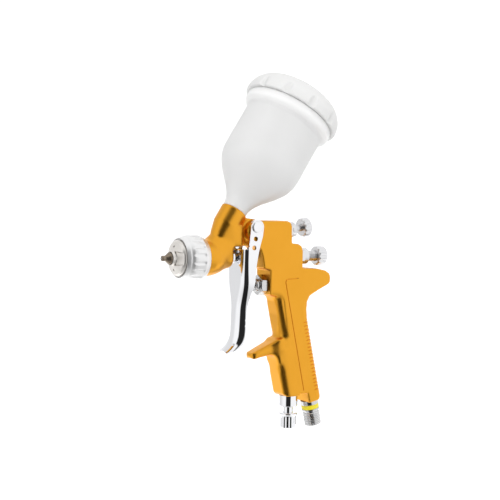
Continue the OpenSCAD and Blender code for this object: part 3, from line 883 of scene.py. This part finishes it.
def build_trigger():
    """The bent sheet, cut to its outline, with the needle's slot and its holes cut through."""
    piece = bent_sheet("trigger_look")
    pivot = ((PIVOT.x - GUN.x) / MM, (PIVOT.z - GUN.z) / MM)
    eye = [(pivot[0] + EYE_R * math.cos(t), pivot[1] + EYE_R * math.sin(t))
           for t in np.linspace(-0.15, math.pi + 0.1, 28)]
    rear = smooth_line([(-24.8, -71.1), (-18.4, -69.2), (-13.4, -66.4), (-10.6, -62.6),
                        (-9.6, -58), (-9.1, -46), (-8.8, -38), (-7.2, -28), (-4.9, -20),
                        (-3.6, -6), (-1.4, 6), (1.4, 16)], 6)
    notch = rounded([(-9.4, 18), (-9.9, 13), (-10.8, PLATE_TOP), (-40, PLATE_TOP)], 1.4, 4)
    outline = [*eye, *notch, (-40, -64), (-25.9, -66.5), (-25.3, -69.2), *rear]
    combine(piece, [extruded("outline", SIDE_VIEW, outline, -BEYOND, BEYOND)], "INTERSECT")
    cutters = [block(GUN_FRAME, (-30, -NEEDLE_SLOT_HALF, 0), (-10, NEEDLE_SLOT_HALF, 12)),
               rod(NEEDLE_AXIS, -30, -10, NEEDLE_SLOT_HALF)]
    for x, z, r in ((*pivot, 2.6), (-4.8, 14, 1.8), (-6, 7.4, 1.8)):
        spot = SIDE_VIEW @ Matrix.Translation(Vector((x, z, 0)) * MM)
        cutters.append(rod(spot, -BEYOND, BEYOND, r))
    combine(piece, cutters, "DIFFERENCE")
    soften_edges(piece, 0.3, 40)
    stand_for(piece, "trigger")


# ---- cup and lid ----

# Stations along the cup's axis and radii, in mm
CUP_R = 31.0
BAND_R = 35.2
WALL = 1.6
LID_BOTTOM, LID_TOP = 87.8, 107.6
GROOVES = 11
GROOVE_TURN = math.radians(-134)


def funnel(inset, steps=26):
    """The bell between neck and wall, as one Bezier curve moved inwards by the inset."""
    a, b, c, d = (np.array(p) for p in ((0.5, 9.4 - inset), (16 + inset, 9.6 - inset),
                                        (24 + inset, CUP_R - inset), (43, CUP_R - inset)))
    return [(1 - t) ** 3 * a + 3 * (1 - t) ** 2 * t * b + 3 * (1 - t) * t * t * c + t ** 3 * d
            for t in np.linspace(0, 1, steps)]


def build_cup():
    """Neck, funnel, straight wall, the band under the lid, and the bore in one turned wall."""
    outside = [(-11.5, 8.2), (0.1, 8.2), (0.2, 9.3), *funnel(0), (77, CUP_R), (79, CUP_R + 0.9),
               (81, BAND_R - 1), (82.4, BAND_R), (87.6, BAND_R), (87.6, CUP_R + 0.1),
               (97.5, CUP_R + 0.1)]
    inside = [(97.5, CUP_R - WALL), *reversed(funnel(WALL)), (0.5, 6.9), (-11.5, 6.9)]
    outer = rounded(outside, 0.9, 4)
    piece = lathe("cup_look", CUP_AXIS, [*outer, *rounded(inside, 0.4, 2)], 160, closed=True)
    stand_for(piece, "cup")


def build_lid():
    """The domed lid with its grip grooves, and the vent plug in its middle."""
    dome = smooth_line([(90.2, 38), (93, 37.75), (95.4, 37.1), (98.4, 35.6), (101.4, 33.4),
                        (104.2, 30.0), (106.3, 25.4), (107.3, 20), (LID_TOP, 15)], 5)
    line = [(99.2, 6.1), (99.2, 31.5), (LID_BOTTOM, 31.5), (LID_BOTTOM, 37.2), (88.5, 37.8),
            *dome, (LID_TOP - 0.1, 14.4), (LID_TOP - 1.4, 14), (LID_TOP - 1.4, 6.1)]
    shape = fluted(GROOVES, 39.5, 3.4, LID_BOTTOM - 2, 104, 1.0, GROOVE_TURN)
    piece = lathe("cup_lid_look", CUP_AXIS, split_long(rounded_ring(line, 0.35), 1.2), 352, shape,
                  closed=True)
    stand_for(piece, "cup_lid")
    plug = [(LID_TOP - 3, 0), (LID_TOP - 3, 4.2), (98, 4.2), (98, 6), (LID_TOP - 1.4, 6),
            (LID_TOP - 1.4, 7.6), (LID_TOP - 0.5, 7.6), (LID_TOP - 0.2, 6.8), (LID_TOP - 0.2, 0)]
    turned("lid_vent_plug", CUP_AXIS, plug)


# ---- head ----


CAP_VOXEL = 0.2
# Air holes of the cap's face: slope towards the spray, distance from the axis, own radius
HOLE_SLOPE = math.radians(35)
HOLE_CIRCLE, HOLE_R = 8.6, 0.8


def build_air_cap():
    """The cap, with a trough across its face and an air hole in each of its two raised sides."""
    face = [(-69.4, 4.7), (-69.4, 5.2), (-67.6, 5.4), (-65.2, 11.9), (-63.6, 13.2), (-60.2, 13.2),
            (-60.2, 13.85), (-56.4, 13.85), (-53.6, 11.4), (-53.6, 10.4), (-56, 9.4), (-60, 5.6),
            (-60, 4.7)]
    cap = lathe("air_cap_look", NEEDLE_AXIS, face, 120, closed=True)
    ring = [(-72, 5.3), (-66.2, 5.5), (-64.6, 12.2), (-64.1, 15), (-72, 15)]
    trough = lathe("trough", NEEDLE_AXIS, ring, 120, closed=True)
    walls = [(-72, -7), (-64, -3.9), (-64, 3.9), (-72, 7)]
    combine(trough, [extruded("walls", SIDE_VIEW, walls, -20, 20)], "INTERSECT")
    cutters = [trough]
    for side in (-1, 1):
        aim = Vector((math.cos(HOLE_SLOPE), 0, -side * math.sin(HOLE_SLOPE)))
        spot = looking_along(at(-66.4, side * HOLE_CIRCLE), aim)
        cutters.append(rod(spot, -4, 4, HOLE_R, 20))
    combine(cap, cutters, "DIFFERENCE")
    remesh(cap, CAP_VOXEL)
    smooth(cap, 3)
    cap.data.shade_smooth()
    stand_for(cap, "air_cap")


def build_head():
    """Retaining ring, fluid tip, needle and packing nut, all turned on the needle's axis."""
    turned("air_cap_ring", NEEDLE_AXIS,
           [(-62.4, 14), (-62.8, 14.6), (-60.2, 15.5), (-59.4, 15.6), (-57, 16.5), (-55, 16.85),
            (-47.6, 16.85), (-45.4, 15.8), (-43.3, 14.8), (-43.3, 12.05), (-52.2, 12.05),
            (-52.2, 14)], 0.45, 432, fluted(18, 18.35, 2.1, -59.6, -48.2, 1.6), True)
    tip = [(-76.4, 0.75), (-76.4, 1.5), (-76, 2), (-73.3, 2), (-70.5, 4.4), (-59.6, 4.4),
           (-58.8, 5.2), (-55, 5.2), (-52, 9), (-49, 9), (-49, 7.1), (-40, 7.1), (-40, 3),
           (-66, 3), (-73.6, 0.75)]
    turned("fluid_tip", NEEDLE_AXIS, tip, 0.3, 72, closed=True)
    needle = [(-77.4, 0), (-76.6, 0.62), (-73.4, 0.7), (-66.5, 2), (-12.25, 2), (-12.25, 5.2),
              (-8.8, 5.2), (-8.8, 2), (12.4, 2), (12.4, 4.2), (14, 4.2), (14, 1.5), (47.4, 1.5),
              (48, 0.9), (48, 0)]
    turned("fluid_needle", NEEDLE_AXIS, needle, 0.2, 48)
    build_air_cap()
    turned("packing_nut", NEEDLE_AXIS,
           [(-20.8, 2.05), (-20.8, 3.9), (-19.4, 3.9), (-19.4, 4.9), (-19.1, 5.4), (-17.5, 5.4),
            (-17.2, 4.9), (-17.2, 3.4), (-15.7, 3.4), (-15.7, 2.05)], 0.15, 96,
           hexed(9.5, -19.4, -17.2), True, 0.5)


# ---- valves, screws and inlet ----


def knob_profile(r, length, bore, depth):
    """A knob from its open side at 0 to its outer end, bored to the depth."""
    return [(depth, 0), (depth, bore), (0, bore), (0, r - 0.8), (0.8, r), (length - 0.8, r),
            (length, r - 0.8), (length, r - 2.2), (length - 0.4, r - 2.6), (length - 0.4, 0)]


def build_air_valve():
    turned("air_valve_nut", VALVE_AXIS,
           [(2.2, 4.6), (2.8, 5), (5.2, 5), (5.2, 7.4), (5.7, 8.0), (10.2, 8.0), (10.7, 7.4),
            (10.7, 6.45), (19, 6.45), (19, 3.6), (13, 3.6), (13, 2.05), (2.2, 2.05)], 0.2, 144,
           hexed(14, 5.2, 10.7), True)
    turned("air_valve_stem", VALVE_AXIS,
           [(-12.65, 0), (-12.65, 1.2), (-11.65, 2), (24.2, 2), (24.2, 1.5), (33, 1.5), (33.5, 1.1),
            (33.5, 0)], 0.2, 48)


def build_fluid_screw():
    """The housing behind the needle, with the threaded screw and its knob."""
    turned("needle_housing", NEEDLE_AXIS,
           [(28, 6.15), (40.2, 6.15), (40.2, 6.6), (40.7, 7.2), (44.1, 7.2), (44.6, 6.6),
            (44.6, 6.2), (48.6, 6.2), (49.2, 5.6), (49.2, 4.05), (34.6, 4.05), (34.6, 4.5),
            (28, 4.5)], 0.2, 144, hexed(12.6, 40.2, 44.6), True)
    turned("fluid_screw", NEEDLE_AXIS,
           [(56, 0), (56, 2.6), (36, 2.6), (36, 4), (63.3, 4), (63.3, 0)], 0.25, 96,
           threaded(36.5, 62.5, 0.75, 0.28), longest=0.14)
    knob = NEEDLE_AXIS @ Matrix.Translation((0, 0, FLUID_STATION))
    turned("fluid_knob", knob, knob_profile(7.4, 7.8, 4.05, 5.9), 0.3, 288,
           fluted(12, 8.4, 1.7, -1, 9), longest=0.6)


def build_spreader():
    """The fan adjusting valve above the needle."""
    turned("spreader_bushing", SPREADER_AXIS,
           [(-9.5, 2.65), (-9.5, 4.95), (0.6, 4.95), (0.6, 5.7), (1.0, 6.25), (3.6, 6.25),
            (4, 5.8), (7, 5.8), (7.6, 5.2), (7.6, 2.65)], 0.2, 144, hexed(11, 0.6, 3.9), True)
    turned("spreader_stem", SPREADER_AXIS,
           [(-13.4, 0), (-13.4, 1.2), (-10, 2.6), (18.6, 2.6), (18.6, 0)], 0.2, 64)
    knob = SPREADER_AXIS @ Matrix.Translation((0, 0, SPREADER_STATION))
    turned("spreader_knob", knob, knob_profile(7.3, 6.6, 2.65, 4.7), 0.3, 288,
           fluted(12, 8.3, 1.7, -1, 8), longest=0.6)


def build_airflow():
    """The air adjusting valve under the grip."""
    turned("airflow_bushing", AIRFLOW_AXIS,
           [(-12, 3.75), (-12, 4.95), (0.05, 4.95), (0.05, 7.2), (8.2, 7.2), (8.8, 6.6),
            (8.8, 3.75)], 0.3, 96, closed=True)
    turned("airflow_stem", AIRFLOW_AXIS,
           [(-18, 0), (-18, 1.4), (-12, 3.7), (21.6, 3.7), (21.6, 0)], 0.2, 72)
    knob = AIRFLOW_AXIS @ Matrix.Translation((0, 0, AIRFLOW_KNOB_START))
    turned("airflow_knob", knob,
           [(8.1, 0), (8.1, 3.75), (0, 3.75), (0, 6.6), (0.5, 7.05), (1.4, 7.05), (2.2, 6.3),
            (11.2, 6.3), (11.8, 5.7), (11.8, 4.4), (11.5, 4.1), (11.5, 0)], 0.25, 240,
           fluted(10, 7.2, 1.35, 2.6, 13), longest=0.6)


def build_inlet():
    """The threaded air inlet with its colour ring."""
    turned("air_inlet", INLET_AXIS,
           [(-32, 3.2), (-32, 5.3), (-20, 5.3), (-20, 6.9), (-16.6, 6.9), (-16.6, 6), (-13.1, 6),
            (-13.1, 6.9), (-11.8, 6.9), (-11.8, 5.7), (-10.5, 5.7), (-10.5, 6.0), (-9.9, 6.58),
            (-0.5, 6.58), (0, 6.1), (0, 3.2)], 0.2, 144, threaded(-10.4, -0.1, 1.337, 0.8), True,
           0.17)
    turned("colour_ring", INLET_AXIS,
           [(-16.55, 6.02), (-16.55, 6.85), (-13.15, 6.85), (-13.15, 6.02)], 0.3, 96, closed=True)


def build_pivot():
    """The stud through the trigger and the slotted screw in its end."""
    turned("trigger_stud", PIVOT_AXIS,
           [(-2, 0), (-2, 1.55), (-10.4, 1.55), (-10.4, 2.5), (13.1, 2.5), (13.1, 4.4),
            (13.7, 4.4), (14.05, 4.0), (14.2, 3.2), (14.2, 0)], 0.15, 72)
    screw = lathe("trigger_screw_look", PIVOT_AXIS,
                  rounded([(-14.2, 0), (-14.2, 3.2), (-14.05, 4.0), (-13.7, 4.4), (-13.1, 4.4),
                           (-13.1, 2.5), (-10.5, 2.5), (-10.5, 1.5), (-3, 1.5), (-3, 0)], 0.12, 3), 72)
    combine(screw, [block(PIVOT_AXIS, (-3, -0.45, -15), (3, 0.45, -13.4))], "DIFFERENCE")
    screw.data.shade_smooth()
    sharpen(screw, 35)
    stand_for(screw, "trigger_screw")


def paint_cad_nodes():
    """Every CAD node takes the material of its record slot."""
    for part in frame["record"]["subparts"]:
        node = frame["nodes"][part["node"]]
        node.data.materials.clear()
        node.data.materials.append(SLOT_MATERIALS[part["material_slot"]])
        node.data.shade_smooth()
        sharpen(node, 35)


make_camera()
make_studio()
make_fill()
make_stage()
paint_cad_nodes()
build_gun_body()
build_trigger()
build_pivot()
build_cup()
build_lid()
build_head()
build_air_valve()
build_fluid_screw()
build_spreader()
build_airflow()
build_inlet()
